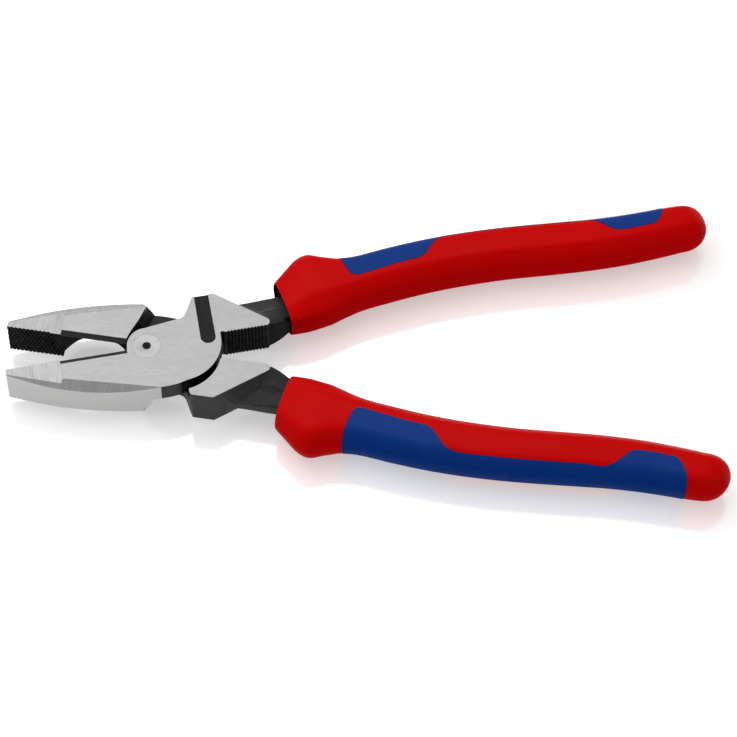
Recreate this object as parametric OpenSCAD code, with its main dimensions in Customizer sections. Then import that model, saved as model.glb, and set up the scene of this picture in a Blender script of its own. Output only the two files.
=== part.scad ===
// Lineman pliers: two forged levers crossing at a riveted lap joint, each with a
// two-component grip moulded on its tang.
// Frame: the pivot axis is Z, x = y = 0. The jaws point to -X, the handles to +X.
// z = 0 is the head's flat back face and z = head_t its flat front face.
// A lever is drawn once, closed and about mid-thickness, and used twice: lever B is
// lever A turned half a turn about X. Each is then swung open by half_open.

/* [Pose] */
// Angle each lever is swung from closed, half of the total opening, degrees
half_open = 10; // [0:1:20]

/* [Head] */
// Thickness of the head over its two ground faces
head_t = 14; // [13:0.5:15]
// Distance from the pivot to the jaw tips
jaw_len = 46.6; // [44:0.1:49]
// Distance from the pivot to the step between gripping jaws and cutter zone
step_x = 28.7; // [27:0.1:30]
// Clearance of each gripping face from the closing plane
jaw_gap = 0.03; // [0.02:0.01:0.2]
// Depth of the jaw tip facets below the ground face at the gripping edge
facet_depth = 0.25; // [0.1:0.05:0.5]
// Side tilt of the jaw tip facets, degrees
facet_tilt = 2.8; // [2:0.1:6]
// Slope of the long side bevels on the jaws, degrees
bevel_slope = 24.5; // [18:0.5:30]

/* [Cutter] */
// Width of the cutter's front bevel
cut_w = 1.7; // [1.2:0.1:2.2]
// Depth of the cutting edge below the front face
cut_d = 0.9; // [0.6:0.05:1.2]
// Relief angle behind the cutting edge, from vertical, degrees
cut_relief = 35; // [30:1:40]

/* [Lap joint] */
// Gap between the two half-thickness hubs
lap_gap = 0.04; // [0.02:0.01:0.1]
// Radius of the rivet shank
rivet_r = 4; // [3.5:0.1:4.4]
// Radius of the rivet's countersunk heads at the surface
head_r = 4.55; // [4.5:0.05:5]
// Depth of the countersinks
head_h = 0.9; // [0.6:0.1:1.2]
// Running clearance of the rivet in lever B
run_gap = 0.04; // [0.02:0.01:0.08]
// Radius of the conical punch mark in each rivet head
dimple_r = 1.37; // [1:0.05:1.6]
// Reach of each hub's rounded nose in front of the pivot
nose_r = 6.45; // [6.2:0.05:6.9]
// Radius of the round shoulder of each hub
shoulder_r = 14.8; // [14.7:0.05:14.9]
// Radius of the concave seat that faces the other lever's shoulder
seat_r = 15.05; // [15:0.05:15.2]

/* [Crimping and pulling teeth behind the joint] */
// Number of vertical flutes on each block
flutes = 12; // [8:1:13]
// Pitch of the flutes
flute_pitch = 1.12; // [1:0.02:1.15]
// Depth of a flute
flute_d = 0.45; // [0.2:0.05:0.6]

/* [Tang] */
// Half thickness of the arm on its crest
arm_h = 4.6; // [4:0.1:5]
// Half thickness of the hidden tang bar
tang_h = 3.2; // [2.5:0.1:3.6]

/* [Grips] */
// Scale of the grip's half thickness
grip_fat = 1.0; // [0.97:0.01:1.04]
// Wall of the soft overmoulded layer
soft_t = 1.3; // [1.1:0.1:1.5]
// Width of the soft band on the outer shoulder, between its two broad pads
band_w = 1.9; // [1.8:0.1:2.4]
// Steps along the grip surface
grip_steps = 40; // [24:2:48]

/* [Hidden] */
$fn = 96;
hz = head_t / 2;
far = 60;

// Outer side of the jaw, from the tip back to the hub (x, y)
jaw_side = [[-jaw_len, -2.5], [-40.8, -5.5], [-36.2, -7.8], [-31.6, -9.8], [-26.9, -11.5],
            [-22.2, -13.0], [-17.4, -14.2], [-12.6, -15.15], [-7.8, -15.9]];
// Points on a circular arc
function arc(c, r, a0, a1, n) =
    [for (i = [0:n]) c + r * [cos(a0 + (a1 - a0) * i / n), sin(a0 + (a1 - a0) * i / n)]];
// Outline of the block behind the joint, from the toothed edge round to its outer corner
block_rim = concat([[39.7, 0.45], [40.6, 0.8]], [[41.15, 1.7], [41.1, 2.6], [40.5, 3.35]],
                   [[25.8, 15.4], [24.9, 16.15]], [[18.1, 16.15]]);

// ---- lever, closed position, mid-plane at z = 0, jaw on the -y side ----
module hub_half_outline()
    polygon(concat(jaw_side, [[-2.9, -16.4], [2, -16.65], [7.1, -16.4]],
        arc([9.6, -0.7], shoulder_r, -84, 5, 24),
        [[25.4, 0.95], [26.5, 0.45]], block_rim,
        [[17.6, 16.0], [16.0, 13.0], [14.6, 10.3], [14.1, 9.5], [13.4, 8.9], [12.6, 8.55],
         [11.7, 8.4], [6.35, 7.75]],
        [for (p = arc([0, 0], 6.9, 88, 180, 20)) [p[0] * nose_r / 6.9, p[1]]],
        [[-nose_r, -jaw_gap], [-jaw_len, -jaw_gap]]));
module jaw_low_outline()
    polygon(concat(jaw_side, [[-4.4, -16.2], [-3.5, -15.7], [-3.2, -14.8], [-3.4, -13.6],
        [-4.4, -9.9], [-6.0, -5.5], [-6.6, -3.4], [-6.95, -1.9]],
        [[-7.15, -0.9], [-7.2, -jaw_gap], [-jaw_len, -jaw_gap]]));
// The jaw's rear shoulder flares out from the face towards the lap plane
module shoulder_flare()
    intersection() {
        translate([-3.3, -14.8, 0]) rotate([0, 0, 13]) rotate([90, 0, 0])
            translate([0, 0, -4.9]) linear_extrude(height = 8)
                polygon([[-3, 2 - hz], [-0.1, 2 - hz], [0.8, 4 - hz], [1.5, 5.4 - hz], [2.1, 0], [-3, 0]]);
        translate([0, 0, -hz]) linear_extrude(height = hz + 1) hub_half_outline();
    }
module block_low_outline()
    polygon(concat([[26.5, 0.45]], block_rim, [[17.4, 15.9], [16.9, 15.2], [16.6, 14.4]],
        arc([9.6, 0.7], seat_r, 62, 1, 24), [[25.4, 0.95]]));

// Cut that grinds one jaw tip facet, on the +z side
module facet_cut()
    translate([0, 0, hz - facet_depth]) rotate([facet_tilt, 0, 0])
        translate([-far, -30, 0]) cube([far - step_x, 40, 10]);
// Cut of the long side bevel, on the +z side: it runs along a line across the ground face
// and bends a little further inwards ahead of the step
module side_bevel_cut()
    for (turn = [-16.7, -18.6])
        translate([-28.7, -7.4, hz]) rotate([0, 0, turn]) rotate([bevel_slope, 0, 0])
            translate([-far, -30, 0]) cube([2 * far - 26, 30, 12]);
// Cutter: front bevel and the scooped relief behind the edge, on the +z side
module cutter_cut() {
    translate([0.25 - step_x, 0, hz - cut_d]) rotate([atan2(-cut_d, cut_w), 0, 0])
        translate([0, -5, 0]) cube([step_x - 6.6, 5.5, 5]);
    intersection() {
        rotate([90, 0, 0]) translate([0, 0, -2]) linear_extrude(height = 14)
            polygon([[-28.62, -hz - 1], [-28.5, -hz + 0.9], [-27.75, -hz + 4.2],
                     [-26.9, -hz + 6.8], [-25.7, -hz + 8.7], [-24.5, -hz + 10.3],
                     [-23.4, -hz + 11.6], [-21.7, hz - cut_d],
                     [-10.7, hz - cut_d], [-9.3, hz - 1.7], [-8.3, hz - 3.0], [-7.6, hz - 4.3],
                     [-7.3, hz - 7.5], [-7.2, -hz - 1]]);
        // the relief plane falls away from the edge, and the hollow narrows at both ends
        translate([-40, 0, hz - cut_d]) rotate([cut_relief - 90, 0, 0]) rotate([180, 0, 0])
            translate([0, -20, 0]) cube([40, 40, 30]);
        translate([0, 0, -hz - 2]) linear_extrude(height = head_t + 4)
            polygon([[-29.2, 1], [-29.1, -0.9], [-28.5, -2.7], [-27.5, -4.3], [-26.0, -6.3],
                     [-23.8, -8.1], [-21.2, -9.3], [-18, -9.8], [-15, -9.8], [-12, -9.6],
                     [-9.6, -9.0], [-8.0, -7.6], [-7.2, -5.6], [-6.9, -3], [-6.9, 1]]);
    }
}
// Row of vertical flutes on the block's toothed edge
module flute_cuts()
    for (i = [0:flutes - 1])
        translate([27.1 + i * flute_pitch, 0.45 - flute_d, -hz - 1]) rotate([0, 0, 45])
            cube([flute_d * sqrt(2), flute_d * sqrt(2), head_t + 2]);

// Arm behind the block: a faceted forged section that enters the grip
module arm() {
    translate([0, 0, -3.4]) linear_extrude(height = 6.8)
        polygon([[38, 1.6], [41.5, 1.15], [44, 1.75], [47.9, 2.96], [47.9, 6], [38, 6]]);
    translate([26, 0, 0]) rotate([90, 0, 90]) linear_extrude(height = 24)
        polygon([[2.95, -3.4], [4.6, -arm_h + 0.35], [9.8, -arm_h], [14, -2.1],
                 [14, 2.1], [9.8, arm_h], [4.6, arm_h - 0.35], [2.95, 3.4]]);
}
// Tang: flat bar that carries on inside the grip and tapers to a round end
module tang()
    translate([0, 0, -tang_h]) linear_extrude(height = 2 * tang_h)
        polygon(concat([[46, 3.2], [52, 4.6], [62, 8.0], [72, 11.2], [84, 13.0], [100, 14.4],
                 [116, 14.7], [136, 13.6], [152, 12.8], [162, 12.8]],
                 arc([163, 15.6], 2.6, -80, 80, 8),
                 [[152, 19.0], [136, 19.9], [116, 21.6], [100, 21.6], [84, 20.3], [72, 19.0],
                  [62, 17.2], [54, 15.0], [46, 13.2]]));

// side = 1 puts the cutter on the same face as the hub half, -1 on the other face
module lever_body(side, bore_gap) difference() {
    union() {
        difference() {
            union() {
                translate([0, 0, lap_gap / 2])
                    linear_extrude(height = hz - lap_gap / 2) hub_half_outline();
                translate([0, 0, -hz]) linear_extrude(height = hz + lap_gap) {
                    jaw_low_outline();
                    block_low_outline();
                }
                shoulder_flare();
            }
            for (m = [0, 1]) mirror([0, 0, m]) {
                facet_cut();
                side_bevel_cut();
            }
            if (side > 0) cutter_cut(); else mirror([0, 0, 1]) cutter_cut();
            flute_cuts();
        }
        arm();
        tang();
    }
    // the hub of the other lever turns in here
    translate([0, 0, -hz - 1]) cylinder(r = 0.001 + rivet_r + bore_gap - 0.001, h = head_t + 2);
    translate([0, 0, hz - head_h]) cylinder(r1 = rivet_r + bore_gap,
        r2 = head_r + bore_gap + (head_r - rivet_r) * 0.1 / head_h, h = head_h + 0.1);
}
// Plain recessed panel on the front of the block
module panel_recess()
    translate([0, 0, hz - 0.3]) linear_extrude(height = 1) {
        translate([20.3, -0.3]) circle(r = 2.5);
        polygon([[17.8, -0.2], [22.8, -0.4], [23.1, 18], [18.4, 18]]);
    }

// ---- grip surface: sections across x, from [x, inner y, outer y, half thickness] ----
grip = [[44.6, 2.2, 18.2, 6.2], [48.3, 2.4, 20.0, 7.2], [51.5, 2.4, 22.9, 8.2],
        [55, 2.6, 25.9, 9.0], [58.6, 3.0, 27.0, 9.25], [62.6, 3.75, 25.5, 9.2],
        [68.3, 5.5, 23.9, 8.9], [74, 7.1, 23.6, 8.7], [84, 8.5, 24.8, 8.6],
        [94, 9.6, 25.7, 8.55], [104, 10.2, 26.2, 8.5], [114, 10.35, 26.1, 8.5],
        [124, 10.15, 25.7, 8.5], [134, 9.5, 25.0, 8.5], [144, 8.8, 24.2, 8.45],
        [154, 8.35, 23.4, 8.4], [164, 8.35, 23.0, 8.4], [174, 8.9, 23.1, 8.35],
        [181, 9.5, 23.4, 8.25], [186, 10.1, 23.1, 7.9], [189.4, 11.0, 22.2, 7.1],
        [191.7, 12.3, 20.8, 5.7], [193, 13.9, 18.9, 3.8], [193.5, 15.4, 17.0, 1.4]];
last = len(grip) - 1;
// Half section, as fractions of half width and half thickness, inner edge to outer edge
half_section = [[-1, 0], [-0.995, 0.3], [-0.95, 0.56], [-0.80, 0.78], [-0.52, 0.93],
                [-0.19, 1.0], [0.2, 0.985], [0.52, 0.94], [0.74, 0.85], [0.87, 0.65],
                [0.97, 0.36], [1, 0]];
section = concat(half_section,
                 [for (i = [len(half_section) - 2:-1:1]) [half_section[i][0], -half_section[i][1]]]);
ns = len(section);
// Slope at a control row, and a smooth curve through the rows
function slope(i, c) = let (a = max(i - 1, 0), b = min(i + 1, last))
    (grip[b][c] - grip[a][c]) / (grip[b][0] - grip[a][0]);
function row(x, i = 0) = (i >= last - 1 || x < grip[i + 1][0]) ? i : row(x, i + 1);
function curve(x, c) = let (i = row(x), x0 = grip[i][0], d = grip[i + 1][0] - x0,
        t = (x - x0) / d, t2 = t * t, t3 = t2 * t)
    (2 * t3 - 3 * t2 + 1) * grip[i][c] + (t3 - 2 * t2 + t) * d * slope(i, c)
    + (3 * t2 - 2 * t3) * grip[i + 1][c] + (t3 - t2) * d * slope(i + 1, c);
// Stations: even along the handle, closer at the flare and round the end
function station(k, inset) = let (u = k / grip_steps)
    u < 0.25 ? 44.6 + inset * 0.5 + u / 0.25 * 21.4 :
    u < 0.8 ? 66 + (u - 0.25) / 0.55 * 112 :
    178 + (15.5 - inset) * sin(90 * (u - 0.8) / 0.2);
module grip_solid(inset = 0)
    polyhedron(
        points = [for (k = [0:grip_steps]) let (x = station(k, inset),
                yi = curve(x, 1), yo = curve(x, 2), h = curve(x, 3) * grip_fat)
            for (p = section) [x, (yi + yo) / 2 + p[0] * ((yo - yi) / 2 - inset),
                               -p[1] * (h - inset)]],
        faces = concat([[for (j = [0:ns - 1]) j]],
            [[for (j = [ns - 1:-1:0]) grip_steps * ns + j]],
            [for (k = [0:grip_steps - 1]) for (j = [0:ns - 1]) let (a = k * ns, b = a + ns,
                j1 = (j + 1) % ns) each [[a + j, b + j, b + j1], [a + j, b + j1, a + j1]]]));
// Plan of the soft layer: a front pad, a narrow band on the shoulder and a rear pad
soft_front = [[68.6, 30], [68.8, 24.2], [69.5, 20.6], [70.2, 17.6], [70.9, 15.3],
              [72.0, 13.9], [73.8, 13.5], [77.5, 14.1], [82.3, 14.95], [87.4, 15.8],
              [92.5, 16.35], [95.6, 16.8], [97.6, 18.6], [99.4, 21.0], [101.5, 23.2]];
soft_rear = [[153.9, 21.6], [156.2, 20.2], [158.2, 18.2], [160.0, 16.2], [161.5, 15.3],
             [163.4, 15.0], [167.5, 15.0], [172.0, 15.3], [174.6, 15.5], [176.1, 16.3],
             [177.5, 18.1], [178.9, 20.3], [179.6, 22.4], [179.9, 30]];
module soft_plan()
    translate([0, 0, -20]) linear_extrude(height = 40)
        polygon(concat(soft_front, [for (x = [105:5.5:151]) [x, curve(x, 2) - band_w]],
                       soft_rear));
// Everything in front of the slanted mouth of the grip
module mouth_cut() {
    translate([48.35, 2.3, -20]) rotate([0, 0, 7.8]) translate([-20, -10, 0]) cube([20, 40, 40]);
}
module hard_grip_body() difference() {
    grip_solid();
    mouth_cut();
    difference() { soft_plan(); grip_solid(soft_t); }
    arm();
    tang();
}
module soft_pad_body() difference() {
    intersection() { grip_solid(); soft_plan(); }
    grip_solid(soft_t);
}

// ---- placing: A as drawn, B turned over ----
module place_a() translate([0, 0, hz]) rotate([0, 0, half_open]) children();
module place_b() translate([0, 0, hz]) rotate([0, 0, -half_open]) rotate([180, 0, 0]) children();

module lever_a() color("silver") place_a() difference() { lever_body(1, 0); panel_recess(); }
module lever_b() color([0.62, 0.63, 0.64]) place_b() lever_body(-1, run_gap);
module pivot_rivet() color("lightgrey") translate([0, 0, hz]) difference() {
    union() {
        translate([0, 0, -hz]) cylinder(r = rivet_r, h = head_t);
        for (m = [0, 1]) mirror([0, 0, m])
            translate([0, 0, hz - head_h]) cylinder(r1 = rivet_r, r2 = head_r, h = head_h);
    }
    for (m = [0, 1]) mirror([0, 0, m])
        translate([0, 0, hz - 1]) cylinder(r1 = 0.25, r2 = dimple_r + 0.1, h = 1.1);
}
module hard_grip_a() color("red") place_a() hard_grip_body();
module hard_grip_b() color("red") place_b() hard_grip_body();
module soft_pad_a() color("royalblue") place_a() soft_pad_body();
module soft_pad_b() color("royalblue") place_b() soft_pad_body();

lever_a();
lever_b();
pivot_rivet();
hard_grip_a();
hard_grip_b();
soft_pad_a();
soft_pad_b();
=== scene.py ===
import bpy, bmesh, math
import numpy as np
from mathutils import Matrix, Vector


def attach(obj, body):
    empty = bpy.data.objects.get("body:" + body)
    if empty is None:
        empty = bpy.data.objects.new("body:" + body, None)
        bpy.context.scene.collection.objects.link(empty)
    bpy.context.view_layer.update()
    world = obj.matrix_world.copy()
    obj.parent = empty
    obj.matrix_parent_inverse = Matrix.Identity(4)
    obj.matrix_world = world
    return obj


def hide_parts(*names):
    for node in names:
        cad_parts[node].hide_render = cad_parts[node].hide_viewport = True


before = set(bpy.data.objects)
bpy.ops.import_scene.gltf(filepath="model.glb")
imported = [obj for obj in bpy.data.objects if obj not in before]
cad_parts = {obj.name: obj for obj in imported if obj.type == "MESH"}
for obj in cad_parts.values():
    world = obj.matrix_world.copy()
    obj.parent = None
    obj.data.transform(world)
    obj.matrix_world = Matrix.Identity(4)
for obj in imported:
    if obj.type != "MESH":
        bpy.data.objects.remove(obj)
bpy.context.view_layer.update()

D = bpy.data
scene = bpy.context.scene
coll = scene.collection

# ------------------------------------------------------------------ dimensions, mm, closed lever frame
HZ = 7.0            # half thickness of the head
HALF = math.radians(10)
STEP_X = 28.7
GAP = 0.03
SOFT_T = 1.3
BAND_W = 1.9

JAW_SIDE = [(-46.6, -2.5), (-40.8, -5.5), (-36.2, -7.8), (-31.6, -9.8), (-26.9, -11.5),
            (-22.2, -13.0), (-17.4, -14.2), (-12.6, -15.15), (-7.8, -15.9), (-2.9, -16.4),
            (2.0, -16.65), (7.1, -16.4), (11.0, -15.5)]


def catmull(pts, n):
    """Smooth open curve through pts, n steps between two points."""
    p = [np.array(q, float) for q in pts]
    p = [2 * p[0] - p[1]] + p + [2 * p[-1] - p[-2]]
    out = []
    for i in range(1, len(p) - 2):
        for k in range(n):
            t = k / n
            a, b, c, d = p[i - 1], p[i], p[i + 1], p[i + 2]
            out.append(0.5 * (2 * b + (c - a) * t + (2 * a - 5 * b + 4 * c - d) * t * t
                              + (-a + 3 * b - 3 * c + d) * t ** 3))
    out.append(p[-2])
    return [tuple(q) for q in out]


def arc(c, r, a0, a1, n):
    return [(c[0] + r * math.cos(math.radians(a0 + (a1 - a0) * i / n)),
             c[1] + r * math.sin(math.radians(a0 + (a1 - a0) * i / n))) for i in range(n + 1)]


def arc_pts(c, r, a, b, n):
    """Arc about c from the direction of a to the direction of b."""
    t0 = math.atan2(a[1] - c[1], a[0] - c[0])
    t1 = math.atan2(b[1] - c[1], b[0] - c[0])
    return [(c[0] + r * math.cos(t0 + (t1 - t0) * i / n), c[1] + r * math.sin(t0 + (t1 - t0) * i / n))
            for i in range(n + 1)]


def rounded(pts, r, seg=4, closed=True):
    """Rounds the corners of a polyline. r is a number or one number per corner."""
    n = len(pts)
    rs = r if isinstance(r, (list, tuple)) else [r] * n
    out = []
    for i in range(n):
        p = np.array(pts[i], float)
        if (not closed and i in (0, n - 1)) or rs[i] <= 0:
            out.append(tuple(p))
            continue
        a, b = np.array(pts[i - 1], float), np.array(pts[(i + 1) % n], float)
        u, v = a - p, b - p
        lu, lv = np.linalg.norm(u), np.linalg.norm(v)
        u, v = u / lu, v / lv
        ang = math.acos(max(-1, min(1, float(u @ v))))
        if ang > math.pi - 0.05:
            out.append(tuple(p))
            continue
        d = min(rs[i] / math.tan(ang / 2), 0.45 * lu, 0.45 * lv)
        for k in range(seg + 1):
            t = k / seg
            q = (1 - t) ** 2 * (p + u * d) + 2 * t * (1 - t) * p + t * t * (p + v * d)
            out.append(tuple(q))
    return out


# ------------------------------------------------------------------ mesh helpers
def mesh_of(V, F, name="m"):
    me = D.meshes.new(name)
    me.from_pydata([tuple(map(float, v)) for v in V], [], [tuple(int(i) for i in f) for f in F])
    me.update()
    return me


def add(me, name="o"):
    o = D.objects.new(name, me)
    coll.objects.link(o)
    return o


def prism(pts, z0, z1):
    pts = [tuple(p) for p in pts]
    area = sum(pts[i - 1][0] * pts[i][1] - pts[i][0] * pts[i - 1][1] for i in range(len(pts)))
    if area < 0:
        pts = pts[::-1]
    n = len(pts)
    V = [(x, y, z0) for x, y in pts] + [(x, y, z1) for x, y in pts]
    F = [tuple(range(n - 1, -1, -1)), tuple(range(n, 2 * n))]
    F += [(i, (i + 1) % n, n + (i + 1) % n, n + i) for i in range(n)]
    return add(mesh_of(V, F))


def block(lo, hi, M=None):
    o = prism([(lo[0], lo[1]), (hi[0], lo[1]), (hi[0], hi[1]), (lo[0], hi[1])], lo[2], hi[2])
    if M is not None:
        move(o, M)
    return o


def move(o, M):
    o.data.transform(M)
    if M.determinant() < 0:
        o.data.flip_normals()
    return o


def drop(o):
    me = o.data
    D.objects.remove(o)
    if me.users == 0:
        D.meshes.remove(me)


def boolean(a, b, op, keep=False, use_self=False):
    m = a.modifiers.new("b", "BOOLEAN")
    m.operation, m.object, m.solver = op, b, "EXACT"
    m.use_self = use_self
    bpy.context.view_layer.update()
    dg = bpy.context.evaluated_depsgraph_get()
    me = D.meshes.new_from_object(a.evaluated_get(dg))
    a.modifiers.clear()
    old = a.data
    a.data = me
    D.meshes.remove(old)
    if not keep:
        drop(b)
    return a


def lathe(profile, seg=96):
    """Solid of revolution about Z from (r, z) points, bottom to top; r = 0 at both ends."""
    V, F = [], []
    rings = []
    for r, z in profile:
        if r < 1e-9:
            rings.append([len(V)])
            V.append((0, 0, z))
        else:
            rings.append(list(range(len(V), len(V) + seg)))
            V += [(r * math.cos(2 * math.pi * k / seg), r * math.sin(2 * math.pi * k / seg), z)
                  for k in range(seg)]
    for a, b in zip(rings, rings[1:]):
        for k in range(seg):
            k1 = (k + 1) % seg
            if len(a) == 1:
                F.append((a[0], b[k1], b[k]))
            elif len(b) == 1:
                F.append((a[k], a[k1], b[0]))
            else:
                F.append((a[k], a[k1], b[k1], b[k]))
    me = mesh_of(V, F)
    return add(me)


def loft(rings, cap0=True, cap1=True):
    n = len(rings[0])
    V = [p for r in rings for p in r]
    F = []
    for i in range(len(rings) - 1):
        a, b = i * n, (i + 1) * n
        for j in range(n):
            j1 = (j + 1) % n
            F.append((a + j, a + j1, b + j1, b + j))
    if cap0:
        F.append(tuple(range(n - 1, -1, -1)))
    if cap1:
        F.append(tuple((len(rings) - 1) * n + j for j in range(n)))
    return add(mesh_of(V, F))


def fix_normals(o):
    bm = bmesh.new()
    bm.from_mesh(o.data)
    bmesh.ops.recalc_face_normals(bm, faces=bm.faces)
    bm.to_mesh(o.data)
    bm.free()
    return o


def tidy(o, dist=0.004, dissolve=0.4):
    bm = bmesh.new()
    bm.from_mesh(o.data)
    bmesh.ops.remove_doubles(bm, verts=bm.verts, dist=dist)
    bmesh.ops.dissolve_degenerate(bm, edges=bm.edges, dist=dist)
    if dissolve:
        bmesh.ops.dissolve_limit(bm, angle_limit=math.radians(dissolve), verts=bm.verts, edges=bm.edges)
    bm.to_mesh(o.data)
    bm.free()
    return o


def seal(o):
    """Close any face-sized opening left by the cuts, facing and finished like its neighbours."""
    bm = bmesh.new()
    bm.from_mesh(o.data)
    edges = [e for e in bm.edges if len(e.link_faces) == 1]
    if edges:
        for f in bmesh.ops.holes_fill(bm, edges=edges, sides=0)["faces"]:
            for lp in f.loops:
                nb = [g for g in lp.edge.link_faces if g is not f]
                if nb:
                    f.material_index = nb[0].material_index
                    other = next(q for q in nb[0].loops if q.edge is lp.edge)
                    if other.vert is lp.vert:
                        f.normal_flip()
                    break
    bm.to_mesh(o.data)
    bm.free()
    return o


def bevel(o, width, seg=2, angle=30, pick=None, clamp=True):
    bm = bmesh.new()
    bm.from_mesh(o.data)
    es = [e for e in bm.edges if len(e.link_faces) == 2
          and e.calc_face_angle(0) > math.radians(angle) and (pick is None or pick(e))]
    bmesh.ops.bevel(bm, geom=es, offset=width, offset_type="OFFSET", segments=seg, profile=0.5,
                    affect="EDGES", clamp_overlap=clamp, material=-1)
    bm.to_mesh(o.data)
    bm.free()
    return o


def shade(o, angle=32, flat=0.0):
    """Smooth shading up to an angle; faces larger than flat (mm2) keep their own plane."""
    bm = bmesh.new()
    bm.from_mesh(o.data)
    area = {f.index: f.calc_area() for f in bm.faces} if flat else {}
    for f in bm.faces:
        f.smooth = True
    for e in bm.edges:
        hard = len(e.link_faces) == 2 and e.calc_face_angle(0) > math.radians(angle)
        if flat and not hard and len(e.link_faces) == 2 and e.calc_face_angle(0) > math.radians(5):
            hard = max(area[f.index] for f in e.link_faces) > flat
        e.smooth = not hard
    bm.to_mesh(o.data)
    bm.free()
    return o


T = Matrix.Translation
def RX(a): return Matrix.Rotation(math.radians(a), 4, "X")
def RZ(a): return Matrix.Rotation(math.radians(a), 4, "Z")
FLIP = Matrix.Diagonal((1, 1, -1, 1))
IDENT = Matrix.Identity(4)

# ------------------------------------------------------------------ lever outlines
BLOCK_RIM = [(39.7, 0.45), (40.6, 0.8), (41.15, 1.7), (41.1, 2.6), (40.5, 3.35),
             (25.8, 15.4), (24.9, 16.15), (18.1, 16.15)]


def side_curve():
    return catmull(JAW_SIDE, 5)


def hub_outline():
    side = side_curve()
    c = (9.6, -0.7)
    sh = arc_pts(c, 14.8, (11.2, -15.4), (24.35, -0.2), 40)
    rim = rounded([(26.5, 0.45)] + BLOCK_RIM + [(17.6, 16.0)], 0.6, 3, closed=False)[1:-1]
    back = catmull([(17.7, 16.05), (17.0, 14.9), (16.0, 13.0), (14.9, 10.8), (14.1, 9.55), (13.3, 8.85),
                    (12.3, 8.5), (11.2, 8.35)], 4)
    nose = [(x * 6.45 / 6.9, y) for x, y in arc((0, 0), 6.9, 88, 180.2, 40)]
    flat = [(6.35, 7.72), (3.0, 7.3)]
    tip = rounded([(-6.9, -GAP), (-46.6, -GAP), side[0], side[3]], [0, 0.12, 0.5, 0], 3, closed=False)[1:-1]
    return side[2:-1] + sh + [(24.45, 0.3), (24.6, 0.75), (24.9, 0.98), (25.35, 0.95), (25.8, 0.7), (26.5, 0.45)] \
        + rim + back + flat + nose + [(-6.5, -GAP)] + tip


def jaw_low_outline():
    side = [p for p in side_curve() if p[0] < -5.6]
    back = rounded([side[-1], (-4.2, -16.25), (-3.35, -15.6), (-3.2, -14.4), (-3.5, -13.2), (-4.4, -9.9),
                    (-6.0, -5.5), (-6.65, -3.4), (-7.0, -1.9)], 0.8, 3, closed=False)[1:]
    tip = rounded([(-6.9, -GAP), (-46.6, -GAP), side[0], side[3]], [0, 0.12, 0.5, 0], 3, closed=False)[1:-1]
    return side[2:] + back + [(-7.15, -0.9), (-7.2, -GAP)] + tip


def shoulder_flare():
    """The jaw's rear shoulder flares out from the face towards the lap plane."""
    prof = [(-3.0, 2 - HZ)] + catmull([(-0.1, 2 - HZ), (0.2, 2.9 - HZ), (0.8, 4 - HZ), (1.5, 5.4 - HZ), (2.1, 0.04)], 3) \
        + [(-3.0, 0.04)]
    o = prism(prof, -4.9, 3.1)
    move(o, T((-3.3, -14.8, 0)) @ RZ(13) @ RX(90))
    boolean(o, prism(hub_outline(), -HZ, 1.0), "INTERSECT")
    return o


def block_low_outline():
    rim = rounded([(26.5, 0.45)] + BLOCK_RIM + [(17.4, 15.9)], 0.6, 3, closed=False)[1:-1]
    seat = arc_pts((9.6, 0.7), 15.05, (16.7, 14.0), (24.6, 0.9), 40)
    return [(26.5, 0.45)] + rim + [(17.4, 15.9), (16.95, 15.3), (16.7, 14.6)] + seat + [(25.35, 0.95), (25.8, 0.7)]


def dist_to_rim(x, y):
    """Distance outside the block, from its long slope and its rounded nose."""
    pts = [(39.7, 0.45), (40.6, 0.8), (41.15, 1.7), (41.1, 2.6), (40.5, 3.35), (25.8, 15.4)]
    best, near = 1e9, 0.0
    for a, b in zip(pts, pts[1:]):
        ax, ay = a
        dx, dy = b[0] - ax, b[1] - ay
        t = max(0, min(1, ((x - ax) * dx + (y - ay) * dy) / (dx * dx + dy * dy)))
        d = math.hypot(x - ax - t * dx, y - ay - t * dy)
        if d < best:
            best, near = d, ay + t * dy
    nose = max(0.0, min(1.0, (6.0 - near) / 3.0))
    # inside when below the slope line and left of the nose
    sx, sy = 25.8 - 40.5, 15.4 - 3.35
    inside = (x - 40.5) * sy - (y - 3.35) * sx < 0 and x < 41.0
    return (0.0, 0.0) if inside else (best, nose)


# ------------------------------------------------------------------ arm and tang, one loft
def lerp_tab(tab, x):
    xs = [r[0] for r in tab]
    return float(np.interp(x, xs, [r[1] for r in tab]))


def smooth_tab(tab, x):
    """Cubic through a table of (x, value)."""
    xs = np.array([r[0] for r in tab], float)
    ys = np.array([r[1] for r in tab], float)
    if x <= xs[0]:
        return float(ys[0])
    if x >= xs[-1]:
        return float(ys[-1])
    i = int(np.searchsorted(xs, x) - 1)
    i = max(0, min(i, len(xs) - 2))
    m = np.empty(len(xs))
    m[1:-1] = (ys[2:] - ys[:-2]) / (xs[2:] - xs[:-2])
    m[0] = (ys[1] - ys[0]) / (xs[1] - xs[0])
    m[-1] = (ys[-1] - ys[-2]) / (xs[-1] - xs[-2])
    d = xs[i + 1] - xs[i]
    t = (x - xs[i]) / d
    return float((2 * t ** 3 - 3 * t ** 2 + 1) * ys[i] + (t ** 3 - 2 * t ** 2 + t) * d * m[i]
                 + (3 * t ** 2 - 2 * t ** 3) * ys[i + 1] + (t ** 3 - t ** 2) * d * m[i + 1])


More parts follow.
